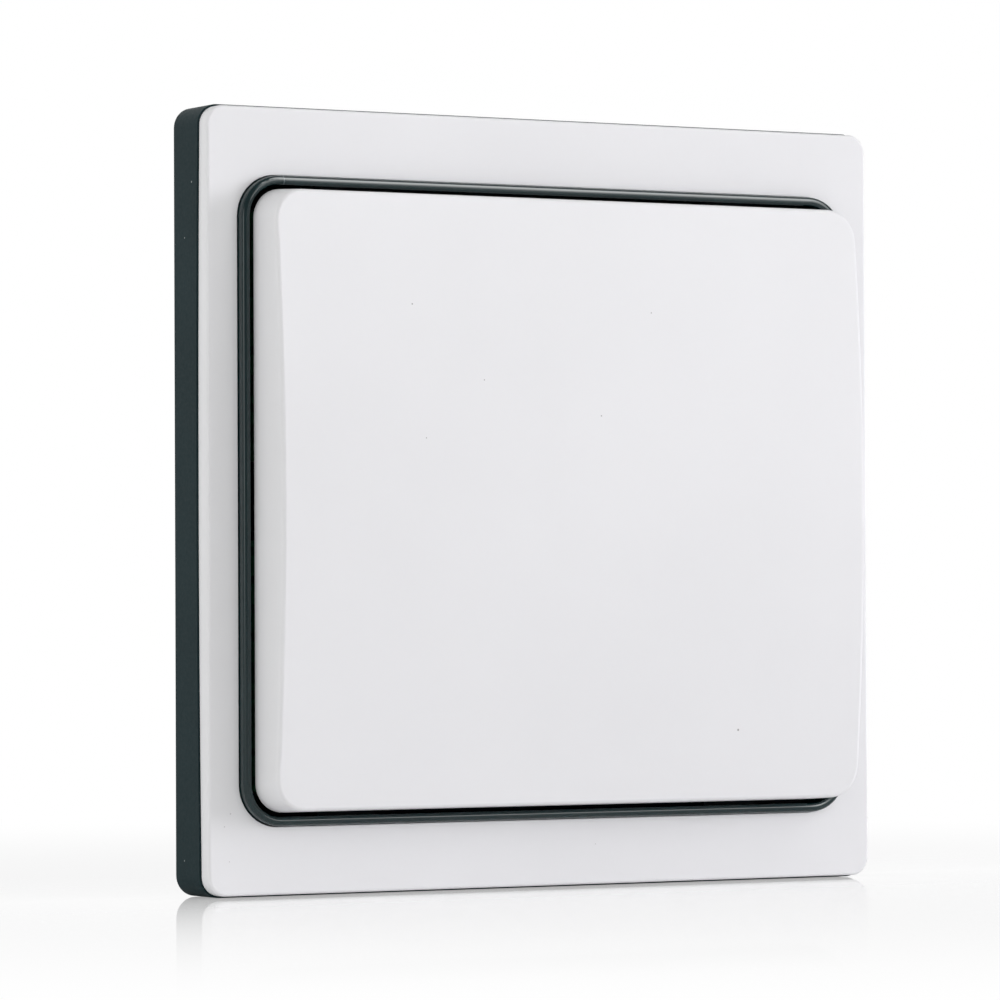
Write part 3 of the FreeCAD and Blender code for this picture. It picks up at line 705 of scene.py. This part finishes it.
def white_world(scene, ambient, dark_room):
    """Fills for matt surfaces, a room with soft boxes for gloss, white for the camera."""
    world = bpy.data.worlds.new("white_studio")
    scene.world = world
    world.use_nodes = True
    tree = world.node_tree
    tree.nodes.clear()
    way = add_node(tree, "ShaderNodeTexCoord").outputs["Generated"]
    rays = add_node(tree, "ShaderNodeLightPath")
    looking = rays.outputs["Is Camera Ray"]
    fills = white_light(tree, add_lobes(tree, way, ambient, FILLS))
    apart = add_node(tree, "ShaderNodeSeparateXYZ", {"Vector": way})
    room = map_range(tree, apart.outputs["Y"], ROOM_START, ROOM_END, dark_room, 1.0,
                     "SMOOTHSTEP")
    mirrored = combine(tree, "MULTIPLY", add_lobes(tree, way, room, MIRRORED),
                       combine(tree, "SUBTRACT", 1.0, looking))
    seen = white_light(tree, combine(tree, "MAXIMUM", looking, mirrored))
    direct = combine(tree, "MAXIMUM", looking, rays.outputs["Is Glossy Ray"])
    either = combine(tree, "MAXIMUM", direct, rays.outputs["Is Transmission Ray"])
    add_node(tree, "ShaderNodeOutputWorld", {
        "Surface": mix_shaders(tree, either, fills, seen)})


class WALLSWITCH_OT_studio(Operator):
    """White floor, soft lights and the camera."""

    bl_idname = "wall_switch.studio"
    bl_label = "Studio"

    def execute(self, context):
        scene = context.scene
        studio = scene.studio_settings
        deselect_all()
        bpy.ops.mesh.primitive_plane_add(
            size=FLOOR_SIZE, location=(0.0, 0.0, studio.floor_level))
        floor = context.object
        floor.name = "floor"
        apply_place(floor)
        floor.data.materials.append(
            floor_material(near_share=0.8, fade=0.046, shadow=0.2))
        for lamp in LAMPS:
            area_light(*lamp)
        white_world(scene, studio.ambient, studio.dark_room)
        deselect_all()
        bpy.ops.object.camera_add(location=tuple(studio.camera_place))
        camera = context.object
        camera.name = "camera"
        yaw, pitch, roll = studio.camera_turn
        turn = (Matrix.Rotation(yaw, 4, "Z")
                @ Matrix.Rotation(QUARTER_TURN + pitch, 4, "X")
                @ Matrix.Rotation(-roll, 4, "Z"))
        camera.rotation_euler = turn.to_euler()
        camera.data.lens = studio.lens
        camera.data.sensor_width = FILM_WIDTH
        camera.data.clip_end = VIEW_END
        scene.camera = camera
        scene.view_settings.view_transform = "Standard"
        return {"FINISHED"}


STEPS = (
    WALLSWITCH_OT_shell,
    WALLSWITCH_OT_white_parts,
    WALLSWITCH_OT_ring,
    WALLSWITCH_OT_carrier,
    WALLSWITCH_OT_board,
    WALLSWITCH_OT_plungers,
    WALLSWITCH_OT_springs,
    WALLSWITCH_OT_cell,
    WALLSWITCH_OT_screws,
    WALLSWITCH_OT_studio,
)


class WALLSWITCH_PT_panel(Panel):
    """Lists the steps and their settings."""

    bl_idname = "WALLSWITCH_PT_panel"
    bl_label = "Wall Switch"
    bl_space_type = "VIEW_3D"
    bl_region_type = "UI"
    bl_category = "Wall Switch"

    def draw(self, context):
        layout = self.layout
        scene = context.scene
        for group in (scene.switch_finishes, scene.spring_sizes, scene.studio_settings):
            for key in group.__annotations__:
                layout.prop(group, key)
        for step in STEPS:
            layout.operator(step.bl_idname)


GROUPS = (SwitchFinishes, SpringSizes, StudioSettings)


def register():
    """Registers the settings, the steps and the panel."""
    for item in GROUPS + STEPS + (WALLSWITCH_PT_panel,):
        bpy.utils.register_class(item)
    bpy.types.Scene.switch_finishes = PointerProperty(type=SwitchFinishes)
    bpy.types.Scene.spring_sizes = PointerProperty(type=SpringSizes)
    bpy.types.Scene.studio_settings = PointerProperty(type=StudioSettings)


def unregister():
    """Takes back what register did, in the opposite order."""
    del bpy.types.Scene.studio_settings
    del bpy.types.Scene.spring_sizes
    del bpy.types.Scene.switch_finishes
    for item in reversed(GROUPS + STEPS + (WALLSWITCH_PT_panel,)):
        bpy.utils.unregister_class(item)


def main():
    """Makes every piece and the studio."""
    register()
    bpy.ops.wall_switch.shell()
    bpy.ops.wall_switch.white_parts()
    bpy.ops.wall_switch.ring()
    bpy.ops.wall_switch.carrier()
    bpy.ops.wall_switch.board()
    bpy.ops.wall_switch.plungers()
    bpy.ops.wall_switch.springs()
    bpy.ops.wall_switch.cell()
    bpy.ops.wall_switch.screws()
    bpy.ops.wall_switch.studio()


if __name__ == "__main__":
    main()
